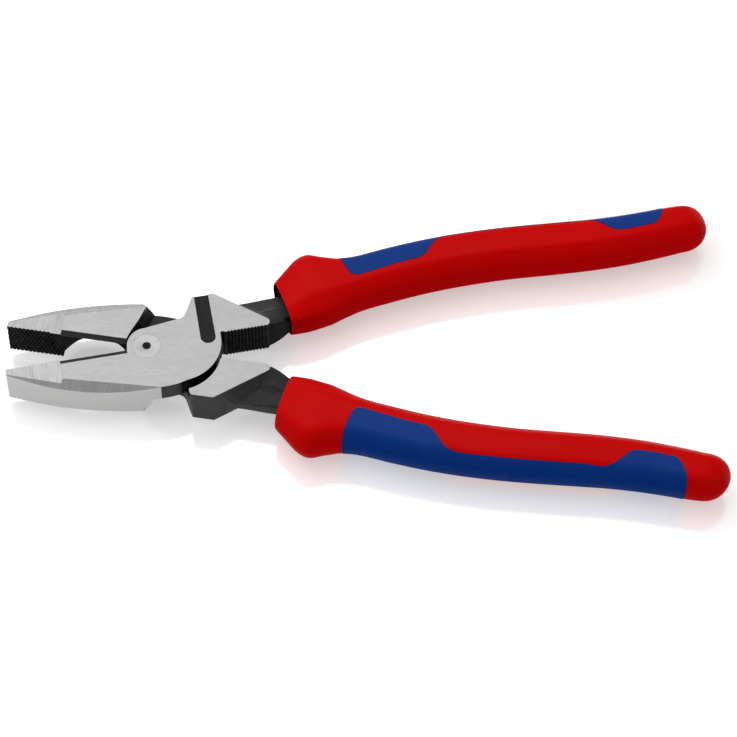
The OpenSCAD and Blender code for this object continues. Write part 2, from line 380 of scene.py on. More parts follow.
ARM_IN = [(20, 1.2), (39.5, 0.95), (41.5, 1.0), (43.5, 1.45), (45.5, 2.1), (47.5, 2.82), (50, 3.3), (54, 4.9),
          (62, 8.0), (72, 11.2), (84, 13.0), (100, 14.4), (116, 14.7), (136, 13.6), (152, 12.8), (165, 12.9)]
ARM_OUT = [(20, 14.0), (45, 14.0), (48, 13.9), (51, 14.0), (54, 15.0), (62, 17.2), (72, 19.0), (84, 20.3),
           (100, 21.6), (116, 21.6), (136, 19.9), (152, 19.0), (165, 18.3)]
ARM_H = [(20, 4.6), (47, 4.6), (50, 4.3), (54, 3.2), (165, 3.1)]
ARM_WALL = [(20, 1.5), (34, 1.5), (43, 2.1), (50, 2.2), (54, 2.3), (165, 2.2)]


def arm_ring(x, off=0.0, n=150):
    """Section of the arm. In front of the grip it has a flat crest, a small step and a trimmed edge."""
    yi, yo = smooth_tab(ARM_IN, x) - off, smooth_tab(ARM_OUT, x) + off
    h = smooth_tab(ARM_H, x) + off
    wo = smooth_tab(ARM_WALL, x) + off * 0.6
    t = max(0.0, min(1.0, (x - 48.0) / 3.0))
    wi = h * (0.88 - 0.16 * max(0.0, min(1.0, (x - 44.5) / 3.0)))
    k = (yo - yi) / 11.0
    A = np.array([(yi, wi), (yi + 1.2 * k, h - 0.1), (yi + 5.5 * k, h), (yi + 5.9 * k, h - 0.5),
                  (yo - 0.55, wo + 0.62), (yo - 0.42, wo + 0.02), (yo, wo - 0.15)])
    e = np.array([yo, wo]) - np.array([yi + 6.9 * k, h])
    B = np.array([(yi, wi), (yi + 1.7 * k, h - 0.3), (yi + 4.6 * k, h - 0.12), (yi + 6.9 * k, h),
                  tuple(np.array([yi + 6.9 * k, h]) + 0.4 * e), tuple(np.array([yi + 6.9 * k, h]) + 0.8 * e), (yo, wo)])
    up = [tuple(q) for q in A * (1 - t) + B * t]
    corners = [(yi, -wi)] + up + [(a, -b) for a, b in up[::-1]][:-1]
    rr = [0.5, 0.6, 0.3, 0.25, 0.3, 0.2, 0.3]
    loop = rounded(corners, [rr[0]] + rr + rr[::-1][:-1], 5)
    # even samples by arc length, from the middle of the inner wall over the top
    P = np.array(loop)
    start = np.array([yi, 0.0])
    i0 = next(i for i in range(len(P)) if P[i - 1][0] < yi + 0.01 and P[i][0] < yi + 0.01
              and P[i - 1][1] < 0 < P[i][1])
    P = np.vstack([start, P[i0:], P[:i0], start])
    s = np.r_[0, np.cumsum(np.linalg.norm(np.diff(P, axis=0), axis=1))]
    q = np.linspace(0, s[-1], n, endpoint=False)
    y, z = np.interp(q, s, P[:, 0]), np.interp(q, s, P[:, 1])
    out = []
    for a, b in zip(y, z):
        bb = b
        if x < 52 and off == 0:
            d, nose = dist_to_rim(x, a)
            R = (1 - nose) * max(0.0, 1 - d / 3.0) ** 1.7 + nose * max(0.0, 1 - d / 7.5) ** 1.2
            top = np.interp(a, [yi, yi + 1.2 * k, yi + 5.5 * k, yi + 5.9 * k, yo - 0.55, yo],
                            [wi, h - 0.1, h, h - 0.5, wo + 0.62, wo])
            bb = b * (1 + (6.55 / max(top, 0.5) - 1) * R)
        out.append((x, a, bb))
    return out


def arm_solid():
    xs = list(np.linspace(26.0, 40.0, 29)) + list(np.linspace(40.25, 46, 24)) + list(np.linspace(46.5, 54, 14)) \
        + list(np.linspace(57, 162, 36))
    rings = [arm_ring(x) for x in xs]
    c = np.array(rings[-1])
    mid = c.mean(axis=0)
    for u in (0.35, 0.65, 0.87, 0.97):
        f = math.sqrt(1 - u * u)
        r = mid + (c - mid) * f
        r[:, 0] = xs[-1] + 2.8 * u
        rings.append([tuple(p) for p in r])
    o = loft(rings)
    fix_normals(o)
    bm = bmesh.new()
    bm.from_mesh(o.data)
    bmesh.ops.triangulate(bm, faces=bm.faces)
    bm.to_mesh(o.data)
    bm.free()
    return o


# ------------------------------------------------------------------ lever cuts
def facet_cutter():
    pts = [(-60, -30), (-33, -30), (-31.2, -11.5), (-30.4, -9.35), (-29.75, -8.85), (-29.2, -8.3), (-28.85, -7.6),
           (-STEP_X, -6.8), (-STEP_X, 10), (-60, 10)]
    return move(prism(pts, 0, 10), T((0, 0, HZ - 0.25)) @ RX(2.8))


def side_bevel_cutter(turn=-16.7):
    return block((-60, -30, 0), (34, 0, 12), T((-28.7, -7.4, HZ)) @ RZ(turn) @ RX(24.5))


def scoop_cutter():
    xz = catmull([(-28.62, -HZ - 0.6), (-28.5, -HZ + 0.9), (-27.75, -HZ + 4.2), (-26.9, -HZ + 6.8),
                  (-25.7, -HZ + 8.7), (-24.5, -HZ + 10.3), (-23.4, -HZ + 11.6)], 3)
    xz += [(-21.7, HZ - 0.9), (-10.7, HZ - 0.9)]
    xz += catmull([(-9.9, HZ - 1.25), (-9.3, HZ - 1.7), (-8.3, HZ - 3.0), (-7.6, HZ - 4.3), (-7.3, HZ - 7.5),
                   (-7.2, -HZ - 0.6)], 3)
    a = prism(xz, -2, 12)
    move(a, Matrix.Rotation(math.radians(90), 4, "X"))      # (x, z) profile, runs along -y
    b = block((0, -20, 0), (40, 40, 30), T((-40, 0, HZ - 0.9)) @ RX(35 - 90) @ RX(180))
    boolean(a, b, "INTERSECT")
    plan = catmull([(-29.2, 1.2), (-29.1, -0.9), (-28.5, -2.7), (-27.5, -4.3), (-26.0, -6.3), (-23.8, -8.1),
                    (-21.2, -9.3), (-18, -9.8), (-15, -9.8), (-12, -9.6), (-9.6, -9.0), (-8.0, -7.6),
                    (-7.2, -5.6), (-6.9, -3), (-6.9, 1.2)], 3)
    c = prism(plan, -HZ - 2, HZ + 2)
    boolean(a, c, "INTERSECT")
    return a


def knurl_cutters(side):
    """Two families of crossing V grooves on the gripping face, which stop along a slanted line."""
    pitch = 1.24
    fams = []
    u1 = np.array([6.2, -14.0 * side]); u1 /= np.linalg.norm(u1)
    v1 = np.array([u1[1], -u1[0]])
    if v1[0] < 0:
        v1 = -v1
    # limit line passes through (x0, side * HZ), runs along u1
    lim = np.array([-32.2, HZ * side]) @ v1
    u2 = np.array([u1[0], -u1[1]])
    v2 = np.array([u2[1], -u2[0]])
    if v2[0] < 0:
        v2 = -v2
    for fam, (u, v) in enumerate(((u1, v1), (u2, v2))):
        depth, half = ((0.55, 0.55), (0.34, 0.46))[fam]
        V, F = [], []
        offs = [(c[0] * v[0] + c[1] * v[1]) for c in ((-47.5, -7.5), (-47.5, 7.5), (-27, -7.5), (-27, 7.5))]
        k0, k1 = int(math.floor(min(offs) / pitch)), int(math.ceil(max(offs) / pitch))
        for k in range(k0, k1 + 1):
            o = k * pitch
            if fam == 0 and o > lim - 0.3:
                continue
            c = v * o
            t0, t1 = -60.0, 60.0
            if fam == 1:
                # clip at the limit line: (c + t u) . v1 = lim
                du, cu = u @ v1, c @ v1
                t = (lim - 0.15 - cu) / du
                if du > 0:
                    t1 = t
                else:
                    t0 = t
            # clip to the jaw's region
            ts = []
            for i, (lo, hi) in enumerate(((-48.5, -26.0), (-HZ - 1.2, HZ + 1.2))):
                if abs(u[i]) > 1e-9:
                    a, b = (lo - c[i]) / u[i], (hi - c[i]) / u[i]
                    t0, t1 = max(t0, min(a, b)), min(t1, max(a, b))
            if t1 - t0 < 0.4:
                continue
            base = len(V)
            ext = 0.1
            w = half * (depth + ext) / depth
            for t in (t0, t1):
                p = c + u * t
                for s, y in ((-w, ext), (w, ext), (0, -depth)):
                    q = p + v * s
                    V.append((q[0], y - GAP, q[1]))
            F += [(base, base + 1, base + 2), (base + 3, base + 5, base + 4),
                  (base, base + 3, base + 4, base + 1), (base + 1, base + 4, base + 5, base + 2),
                  (base + 2, base + 5, base + 3, base)]
        o = add(mesh_of(V, F))
        fix_normals(o)
        fams.append(o)
    return fams


def flute_cutter():
    V, F = [], []
    for i in range(12):
        x, y, d = 27.1 + i * 1.12, 0.45, 0.45
        base = len(V)
        for z in (-HZ - 1, HZ + 1):
            V += [(x - d - 0.2, y - 0.2, z), (x + d + 0.2, y - 0.2, z), (x, y + d, z)]
        F += [(base, base + 2, base + 1), (base + 3, base + 4, base + 5),
              (base, base + 1, base + 4, base + 3), (base + 1, base + 2, base + 5, base + 4),
              (base + 2, base, base + 3, base + 5)]
    o = add(mesh_of(V, F))
    return fix_normals(o)


def panel_cutter():
    pts = arc((20.3, -0.3), 2.5, 175, 362, 20) + [(23.1, 18), (18.4, 18)]
    return prism(pts, HZ - 0.35, HZ + 1)


def build_lever(side, with_panel):
    """side = 1: cutter on the hub half's face."""
    o = prism(hub_outline(), 0.02, HZ)
    low = prism(jaw_low_outline(), -HZ, 0.04)
    low2 = prism(block_low_outline(), -HZ, 0.04)
    boolean(o, low, "UNION")
    boolean(o, low2, "UNION")
    boolean(o, shoulder_flare(), "UNION")
    for M in (IDENT, FLIP):
        boolean(o, move(facet_cutter(), M), "DIFFERENCE")
        boolean(o, move(side_bevel_cutter(), M), "DIFFERENCE")
        boolean(o, move(side_bevel_cutter(-18.6), M), "DIFFERENCE")
    SM = IDENT if side > 0 else FLIP
    w = block((0, -5, 0), (STEP_X - 6.6, 0.5, 5), T((-STEP_X, 0, HZ - 0.9)) @ RX(math.degrees(math.atan2(-0.9, 1.7))))
    boolean(o, move(w, SM), "DIFFERENCE")
    boolean(o, move(scoop_cutter(), SM), "DIFFERENCE")
    tidy(o)
    # forged and ground edges are softened, but the cutting edge and its bevel stay keen
    def soft(e):
        c = (e.verts[0].co + e.verts[1].co) / 2
        if -STEP_X + 0.3 < c.x < -6.4 and c.y > -2.4 and c.z * side > -HZ + 1:
            return False
        return True
    bevel(o, 0.22, 2, 32, soft)
    tidy(o, 0.002, 0)
    boolean(o, arm_solid(), "UNION")
    bore = lathe([(0, -HZ - 1), (4.0 if side > 0 else 4.04, -HZ - 1), (4.0 if side > 0 else 4.04, HZ - 0.9),
                  (4.62, HZ), (5.3, HZ + 1), (0, HZ + 1)])
    boolean(o, bore, "DIFFERENCE")
    if with_panel:
        boolean(o, panel_cutter(), "DIFFERENCE")
    boolean(o, flute_cutter(), "DIFFERENCE")
    for k in knurl_cutters(side):
        boolean(o, k, "DIFFERENCE")
    tidy(o, 0.002, 0)
    return o


# ------------------------------------------------------------------ grips
# Control rows along the grip: x, inner edge, outer edge, half thickness
GRIP = [(47.2, 1.95, 19.4, 6.7), (49.5, 1.95, 21.5, 7.4), (52.0, 2.0, 23.9, 8.2), (55, 2.2, 26.6, 9.0),
        (58.4, 2.65, 27.8, 9.25), (62.6, 3.5, 26.0, 9.2), (68.3, 5.5, 23.95, 8.9), (74, 7.1, 23.6, 8.7),
        (84, 8.5, 24.8, 8.6), (94, 9.6, 25.7, 8.55), (104, 10.2, 26.15, 8.5), (114, 10.35, 26.1, 8.5),
        (124, 10.15, 25.7, 8.5), (134, 9.5, 25.0, 8.5), (144, 8.8, 24.2, 8.45), (154, 8.35, 23.4, 8.4),
        (164, 8.35, 23.0, 8.4), (174, 8.9, 23.1, 8.35), (181, 9.5, 23.4, 8.25), (185, 9.9, 23.4, 8.1)]
TAB_I = [(r[0], r[1]) for r in GRIP]
TAB_O = [(r[0], r[2]) for r in GRIP]
TAB_H = [(r[0], r[3]) for r in GRIP]
END_X, TIP_X = 184.0, 193.5
HALF_SEC = [(-1, 0), (-0.998, 0.16), (-0.985, 0.34), (-0.935, 0.52), (-0.81, 0.69), (-0.65, 0.835),
            (-0.51, 0.94), (-0.38, 0.985), (-0.16, 1.0), (0.06, 0.998), (0.28, 0.975), (0.50, 0.94), (0.66, 0.90),
            (0.765, 0.83), (0.84, 0.72), (0.90, 0.57), (0.955, 0.38), (0.99, 0.18), (1, 0)]
SEC = HALF_SEC + [(a, -b) for a, b in HALF_SEC[-2:0:-1]]
NSEC = 88


def section_unit():
    P = np.array(catmull([SEC[-1]] + SEC + [SEC[0], SEC[1]], 6))
    P = P[6:-6]
    s = np.r_[0, np.cumsum(np.linalg.norm(np.diff(P, axis=0), axis=1))]
    q = np.linspace(0, s[-1], NSEC, endpoint=False)
    return np.stack([np.interp(q, s, P[:, 0]), np.interp(q, s, P[:, 1])], 1)


UNIT = section_unit()


def grip_dims(x):
    if x <= END_X:
        yi, yo, h = smooth_tab(TAB_I, x), smooth_tab(TAB_O, x), smooth_tab(TAB_H, x)
        return (yi + yo) / 2, (yo - yi) / 2, h
    yi, yo, h = smooth_tab(TAB_I, END_X), smooth_tab(TAB_O, END_X), smooth_tab(TAB_H, END_X)
    u = min(1.0, (x - END_X) / (TIP_X - END_X))
    k = max(0.0, 1 - u ** 2.4) ** 0.5
    kz = max(0.0, 1 - u ** 2.6) ** 0.55
    return (yi + yo) / 2 - 0.45 * u * u, (yo - yi) / 2 * k, h * kz


def shear(x):
    return -0.136 * max(0.0, min(1.0, (64.0 - x) / 16.8)) ** 1.0


def lead(x):
    """How far the outer side of the mouth reaches forward."""
    return 0.27 * max(0.0, min(1.0, (60.0 - x) / 12.8))


def grip_ring(x, inset=0.0, dx=0.0):
    m, w, h = grip_dims(x)
    w, h = max(w - inset, 0.05), max(h - inset, 0.05)
    sh = shear(x)
    # the inner corners square up towards the mouth, to hold the arm
    sq = 1 - 0.35 * max(0.0, min(1.0, (57 - x) / 9.0))
    out = []
    for a, b in UNIT:
        bb = math.copysign(abs(b) ** sq, b) if a < -0.25 else b
        out.append((x + dx + sh * (a * w) - lead(x) * (1 + a), m + a * w, bb * h))
    return out


def stations(step=1.6):
    a = list(np.arange(47.9, 70, 0.9)) + list(np.arange(70, 178, step)) + list(np.arange(178, 184.1, 1.0))
    b = [END_X + (TIP_X - END_X) * math.sin(math.radians(t)) for t in range(6, 90, 6)]
    return a + b


def grip_outer(inset=0.0, mouth=True):
    """Closed grip body. With mouth, it has a rolled lip and a socket for the arm and tang."""
    xs = stations()
    rings = []
    if mouth:
        sock = []
        for x in list(np.linspace(162, 56, 30)) + [54, 52.6, 51.8]:
            sock.append(arm_ring(x, 0.04, NSEC))
        def flat(y):
            return 47.2 + shear(47.2) * (y - 10.8) - lead(47.2) * (1 + (y - 10.8) / 8.9)
        for x in (51.4, 50.6):
            r = arm_ring(x, 0.34, NSEC)
            sock.append([(x - 47.2 + flat(p[1]), max(p[1], 2.62), p[2]) for p in r])
        c = np.array(sock[0])
        mid = c.mean(axis=0)
        ends = []
        for u in (0.95, 0.75, 0.4):
            f = math.sqrt(1 - u * u)
            r = mid + (c - mid) * f
            r[:, 0] = c[:, 0].mean() + 3.0 * u
            ends.append([tuple(p) for p in r])
        rings += ends + sock
        # a thin rim stands in front of a narrow moat round the arm
        a = np.array([(0.0, max(p[1], 2.62), p[2]) for p in arm_ring(48.0, 0.34, NSEC)])
        g = np.array(grip_ring(47.2, 0.22))
        d = np.linalg.norm((g - a)[:, 1:], axis=1)
        f = np.minimum(0.6, 0.85 / np.maximum(d, 0.01))[:, None]
        rim = g + (a - g) * f
        moat = g + (a - g) * np.minimum(0.8, f + 0.12)
        for ring, dx in ((a, 2.2), (moat, 2.0), (rim, 0.35), (g + (a - g) * f * 0.8, 0.0)):
            rings.append([(flat(p[1]) + dx, p[1], p[2]) for p in ring])
        for inset_, dx in ((0.22, 0.0), (0.07, 0.07), (0.0, 0.26)):
            rings.append(grip_ring(47.2, inset_, dx))
    else:
        xs = [x for x in xs if x > 55]
    for x in xs:
        if inset:
            x = min(x, TIP_X - inset - 0.6)
            if rings and x - rings[-1][0][0] < 0.05:
                continue
        rings.append(grip_ring(x, inset))
    o = loft(rings)
    fix_normals(o)
    return o


SOFT_FRONT = [(68.0, 30), (68.1, 24.2), (68.75, 20.6), (69.5, 17.6), (70.2, 15.5), (70.75, 14.45), (71.8, 13.7),
              (73.8, 13.55), (77.5, 14.15), (82.3, 14.95), (87.4, 15.8), (92.0, 16.3), (94.2, 16.6), (95.7, 17.2),
              (97.3, 18.5), (99.2, 20.8), (101.2, 22.8), (103.4, 23.9)]
SOFT_REAR = [(151.8, 22.0), (154.0, 21.4), (156.2, 20.1), (158.2, 18.1), (159.9, 16.3), (161.3, 15.4),
             (163.2, 15.05), (167.5, 15.0), (172.0, 15.3), (174.3, 15.5), (175.6, 16.0), (176.9, 17.4),
             (178.2, 19.4), (179.1, 21.2), (179.6, 23.2), (179.9, 30)]


def soft_plan(grow=0.0):
    band = [(x, smooth_tab(TAB_O, x) - BAND_W) for x in np.arange(106, 150, 4.0)]
    pts = catmull(SOFT_FRONT[1:] + band + SOFT_REAR[:-1], 4)
    pts = [SOFT_FRONT[0]] + pts + [SOFT_REAR[-1]]
    if grow:
        P = np.array(pts)
        t = np.gradient(P, axis=0)
        t /= np.linalg.norm(t, axis=1)[:, None]
        n = np.stack([t[:, 1], -t[:, 0]], 1)      # outwards: towards smaller y
        P = P + n * grow
        pts = [tuple(p) for p in P]
    return pts


def build_grip():
    """Hard shell with its recess, and the soft pad that fills it."""
    hard = grip_outer()
    core = grip_outer(SOFT_T + 0.1, mouth=False)
    pocket = prism(soft_plan(0.07), -20, 20)
    boolean(pocket, core, "DIFFERENCE", keep=False)
    boolean(hard, pocket, "DIFFERENCE")
    tidy(hard, 0.003, 0)
    soft = grip_outer(-0.14, mouth=False)
    boolean(soft, prism(soft_plan(-0.05), -20, 20), "INTERSECT")
    boolean(soft, grip_outer(SOFT_T, mouth=False), "DIFFERENCE")
    tidy(soft, 0.003, 0)
    return hard, soft


# ------------------------------------------------------------------ materials
def lin(c):
    return tuple((v / 255 / 12.92 if v / 255 <= 0.04045 else ((v / 255 + 0.055) / 1.055) ** 2.4) for v in c)


class Mat:
    """Small helper round a node tree."""

    def __init__(self, name):
        self.m = D.materials.new(name)
        self.m.use_nodes = True
        self.t = self.m.node_tree
        self.bsdf = next(n for n in self.t.nodes if n.type == "BSDF_PRINCIPLED")
        self.coord = self.t.nodes.new("ShaderNodeTexCoord")

    def node(self, kind, **props):
        n = self.t.nodes.new(kind)
        for k, v in props.items():
            setattr(n, k, v)
        return n

    def link(self, a, b):
        self.t.links.new(a, b)

    def space(self, rot=0.0, scale=(1, 1, 1)):
        """Object coordinates turned into the lever's own axes, then scaled."""
        r = self.node("ShaderNodeMapping")
        r.inputs["Rotation"].default_value = (0, 0, rot)
        s = self.node("ShaderNodeMapping")
        s.inputs["Scale"].default_value = scale
        self.link(self.coord.outputs["Object"], r.inputs["Vector"])
        self.link(r.outputs["Vector"], s.inputs["Vector"])
        return s.outputs["Vector"]

    def noise(self, vec, scale, detail=3.0, rough=0.5, dist=0.0):
        n = self.node("ShaderNodeTexNoise")
        n.inputs["Scale"].default_value = scale
        n.inputs["Detail"].default_value = detail
        n.inputs["Roughness"].default_value = rough
        n.inputs["Distortion"].default_value = dist
        self.link(vec, n.inputs["Vector"])
        return n.outputs["Fac"]

    def ramp(self, fac, stops):
        n = self.node("ShaderNodeValToRGB")
        e = n.color_ramp.elements
        while len(e) < len(stops):
            e.new(0.5)
        for s, (p, c) in zip(e, stops):
            s.position = p
            s.color = (*c, 1) if len(c) == 3 else c
        self.link(fac, n.inputs["Fac"])
        return n.outputs["Color"]

    def maprange(self, fac, a, b, c, d):
        n = self.node("ShaderNodeMapRange")
        for k, v in zip(("From Min", "From Max", "To Min", "To Max"), (a, b, c, d)):
            n.inputs[k].default_value = v
        self.link(fac, n.inputs["Value"])
        return n.outputs["Result"]

    def math(self, op, a, b):
        n = self.node("ShaderNodeMath", operation=op)
        for i, v in enumerate((a, b)):
            if isinstance(v, (int, float)):
                n.inputs[i].default_value = v
            else:
                self.link(v, n.inputs[i])
        return n.outputs[0]

    def mix(self, fac, a, b, mode="MIX"):
        n = self.node("ShaderNodeMix", data_type="RGBA", blend_type=mode)
        for s, v in ((n.inputs[0], fac), (n.inputs[6], a), (n.inputs[7], b)):
            if isinstance(v, (int, float)):
                s.default_value = v
            elif isinstance(v, (tuple, list)):
                s.default_value = (*v, 1) if len(v) == 3 else v
            else:
                self.link(v, s)
        return n.outputs[2]

    def bump(self, height, dist, strength=1.0, prev=None):
        n = self.node("ShaderNodeBump")
        n.inputs["Strength"].default_value = strength
        n.inputs["Distance"].default_value = dist
        self.link(height, n.inputs["Height"])
        if prev is not None:
            self.link(prev, n.inputs["Normal"])
        return n.outputs["Normal"]

    def edge(self, size=0.0004, samples=4):
        """0 on flats, 1 on convex edges: where handling wears a finish."""
        b = self.node("ShaderNodeBevel", samples=samples)
        b.inputs["Radius"].default_value = size
        g = self.node("ShaderNodeNewGeometry")
        d = self.node("ShaderNodeVectorMath", operation="DOT_PRODUCT")
        self.link(b.outputs["Normal"], d.inputs[0])
        self.link(g.outputs["Normal"], d.inputs[1])
        return self.maprange(d.outputs["Value"], 0.995, 0.90, 0, 1)

    def out(self, **kw):
        for k, v in kw.items():
            s = self.bsdf.inputs[k]
            if isinstance(v, (int, float)):
                s.default_value = v
            elif isinstance(v, (tuple, list)):
                s.default_value = (*v, 1) if len(v) == 3 else v
            else:
                self.link(v, s)
        return self.m


def ground_steel(name, rot, grain, base=0.58, rough=0.40, contrast=0.10, bump=2.2e-5, metal=1.0,
                 along=240.0, across=4200.0, wide=0.42):
    """Ground steel: grain is the direction of the grinding lines in the lever's own axes."""
    m = Mat(name)
    sc = {"x": (along, across, across), "y": (across, along, across), "z": (across, across, along)}[grain]
    fine = m.noise(m.space(rot, sc), 1.0, 2.0, 0.6)
    sc2 = tuple(v * wide for v in sc)
    broad = m.noise(m.space(rot, sc2), 1.0, 3.0, 0.55, 0.3)
    cloud = m.noise(m.space(rot, (260, 260, 260)), 1.0, 3.0, 0.6)
    g = m.math("ADD", m.math("MULTIPLY", fine, 0.5), m.math("MULTIPLY", broad, 0.5))
    g = m.math("ADD", m.math("MULTIPLY", g, 0.82), m.math("MULTIPLY", cloud, 0.18))
    lo, hi = base * (1 - contrast), base * (1 + contrast)
    col = m.ramp(g, [(0.30, (lo, lo, lo * 0.99)), (0.52, (base, base, base * 0.99)), (0.72, (hi, hi, hi * 0.99))])
    r = m.maprange(g, 0.3, 0.75, rough * 1.15, rough * 0.85)
    n = m.bump(g, bump)
    return m.out(**{"Base Color": col, "Metallic": metal, "Roughness": r, "Normal": n})


def black_oxide(name, rot, base=0.021, rough=0.48, spec=0.26):
    """Forged and blackened steel: fine scale, faint draw lines and rubbed edges."""
    m = Mat(name)
    v = m.space(rot, (1, 1, 1))
    fine = m.noise(v, 2600, 4, 0.6)
    mid = m.noise(v, 420, 4, 0.6, 0.4)
    lines = m.noise(m.space(rot, (60, 900, 900)), 1.0, 3, 0.6)
    g = m.math("ADD", m.math("MULTIPLY", fine, 0.45), m.math("MULTIPLY", mid, 0.55))
    col = m.ramp(g, [(0.30, (base * 0.72,) * 3), (0.55, (base, base, base * 1.02)), (0.80, (base * 1.5,) * 3)])
    e = m.edge(0.00035)
    e = m.math("MULTIPLY", e, m.maprange(mid, 0.35, 0.7, 0.1, 0.75))
    col = m.mix(e, col, (0.16, 0.16, 0.158))
    r = m.maprange(g, 0.3, 0.75, rough + 0.08, rough - 0.06)
    n = m.bump(fine, 2.0e-5)
    n = m.bump(mid, 5.0e-5, prev=n)
    n = m.bump(lines, 2.5e-5, prev=n)
    return m.out(**{"Base Color": col, "Metallic": 0.15, "Roughness": r, "Normal": n, "Specular IOR Level": spec})


def plastic(name, base, rough, grain, bump, spec=0.5, vary=0.06, wear=None):
    m = Mat(name)
    v = m.space(0, (1, 1, 1))
    fine = m.noise(v, grain, 3, 0.55)
    mid = m.noise(v, grain * 0.22, 3, 0.6)
    cloud = m.noise(v, 45, 2, 0.5)
    c = np.array(base)
    lo, hi = tuple(c * (1 - vary)), tuple(np.minimum(c * (1 + vary), 1))
    col = m.ramp(cloud, [(0.3, lo), (0.5, tuple(c)), (0.7, hi)])
    speck = m.maprange(fine, 0.35, 0.7, 0.93, 1.05)
    col = m.mix(1.0, col, m.ramp(speck, [(0.0, (0.9, 0.9, 0.9)), (1.0, (1, 1, 1))]), "MULTIPLY")
    if wear:
        e = m.math("MULTIPLY", m.edge(0.0005), m.maprange(mid, 0.4, 0.65, 0.0, 0.5))
        col = m.mix(e, col, wear)
    r = m.maprange(mid, 0.3, 0.7, rough + 0.06, rough - 0.05)
    n = m.bump(fine, bump)
    n = m.bump(mid, bump * 1.6, prev=n)
    # the specular level follows the face's direction in the world: the crown keeps its sheen and the flanks lose it,
    # painted highlight on top and painted shade on the flanks
    g = m.node("ShaderNodeNewGeometry")
    z = m.node("ShaderNodeSeparateXYZ")
    m.link(g.outputs["Normal"], z.inputs[0])
    sp = m.maprange(z.outputs["Z"], 0.15, 0.8, spec * 0.12, spec)
    return m.out(**{"Base Color": col, "Roughness": r, "Normal": n, "Specular IOR Level": sp})


def lever_mats(tag, rot):
    return [
        ground_steel(f"ground_face_{tag}", rot, "x", 0.33, 0.42, 0.08, 1.6e-5, along=520.0),          # 0
        ground_steel(f"ground_tip_{tag}", rot, "y", 0.34, 0.42, 0.24, 2.6e-5, along=70.0, across=2600.0),    # 1
        ground_steel(f"ground_bevel_{tag}", rot, "y", 0.33, 0.42, 0.26, 3.0e-5, along=90.0, across=3000.0),  # 2
        ground_steel(f"satin_side_{tag}", rot, "x", 0.50, 0.48, 0.05, 1.6e-5, along=400.0),            # 3
        black_oxide(f"oxide_{tag}", rot),                                         # 4
        # 5: the oxide made near-black, painted shade for faces and hollows that lie in shade
        black_oxide(f"oxide_painted_shade_{tag}", rot, 0.0045, 0.6, 0.07),                       # 5
        black_oxide(f"panel_black_{tag}", rot, 0.008, 0.5, 0.2),                       # 6
        # 7: a light, mostly diffuse steel, painted light for a face that would otherwise reflect dark surroundings
        ground_steel(f"shoulder_{tag}", rot, "x", 0.60, 0.60, 0.05, 1.0e-5, 0.15),            # 7
    ]


def paint_lever(o, side, tag, rot):
    """Finish by what each face is, in the closed lever frame; some faces take painted shade or painted light instead.
    """
    me = o.data
    me.materials.clear()
    for m in lever_mats(tag, rot):
        me.materials.append(m)
    n_side = np.array([-0.155, -0.98])
    for p in me.polygons:
        c, n = p.center, p.normal
        k = 4
        if abs(n.z) > 0.985 and abs(c.z) > HZ - 0.02:
            k = 0
        elif c.x < -STEP_X + 0.05 and abs(n.z) > 0.93 and abs(c.z) > HZ - 1.6:
            k = 1
        elif abs(n.z) > 0.80 and abs(n.z) < 0.97 and n.y < -0.2 and abs(c.z) > HZ - 3.5 and c.x < 6 and c.y < -1.5:
            k = 2
        elif c.x < 2.2 and (n.y < -0.35 or n.x < -0.8 or (n.y < -0.12 and c.y < -14)) and c.y < -0.5 and abs(n.z) < 0.5:
            # outer side and tip of the jaw; the step down to the blackened hub stays dark
            k = 3
            if n.y >= -0.35 and c.x > -45.5 and c.y > -14:
                k = 4
        elif abs(c.z) > HZ - 0.45 and abs(n.z) > 0.25 and not (-STEP_X < c.x < -6.3 and c.y > -2.6):
            k = 0
        # painted shade: the knurled gripping face and the crimp flutes take the near-black oxide 5
        if k == 4 and c.y > -0.9 and c.x < -STEP_X + 1.0:
            k = 5
        if k == 4 and 26.3 < c.x < 40.4 and c.y < 1.0:
            k = 5
        # painted shade: the arm's inner flank, turned away from the light, takes the near-black oxide 5
        if k == 4 and c.x > 38 and n.y < -0.35:
            k = 5
        # painted light: lever a's rear shoulder face towards the handles takes the light steel 7, so it reads lit
        if tag == "a" and k in (3, 4) and -6 < c.x < 2.2 and c.y < -12.2 and n.x > 0.35 and c.z < 0:
            k = 7
        # painted shade: the upright walls round the hub and the cutter's walls take the near-black oxide 5
        if k == 4 and 9.0 < c.x < 26.3 and abs(n.z) < 0.3 and c.y < 15.5 and c.z * side > 0:
            k = 5
        if k == 4 and -STEP_X < c.x < -6.3 and c.z * side < HZ - 1.2 and c.y > -10.5 and abs(n.z) < 0.75:
            k = 5
        if k in (0, 4) and c.z < HZ - 0.28 and c.z > HZ - 0.5 and n.z > 0.9 and c.x > 15:
            k = 6
        if 17 < c.x < 24 and -3.2 < c.y < 16 and HZ - 0.36 < c.z < HZ - 0.02 and abs(n.z) < 0.3 and tag == "a":
            k = 6
        p.material_index = k


# ------------------------------------------------------------------ build
MA = Matrix.Scale(0.001, 4) @ T((0, 0, HZ)) @ Matrix.Rotation(HALF, 4, "Z")
MB = Matrix.Scale(0.001, 4) @ T((0, 0, HZ)) @ Matrix.Rotation(-HALF, 4, "Z") @ Matrix.Rotation(math.pi, 4, "X")


def place(o, name, M, body, node):
    o.name = name
    o.data.name = name
    o.data.transform(M)
    o.data.update()
    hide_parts(node)
    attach(o, body)
    return o


lever_a = build_lever(1, True)
paint_lever(lever_a, 1, "a", -HALF)
seal(lever_a)
shade(lever_a, 30, 2.5)
place(lever_a, "lever_a_forging", MA, "lever_a_body", "lever_a")

lever_b = build_lever(-1, False)
paint_lever(lever_b, -1, "b", HALF)
seal(lever_b)
shade(lever_b, 30, 2.5)
place(lever_b, "lever_b_forging", MB, "lever_b_body", "lever_b")

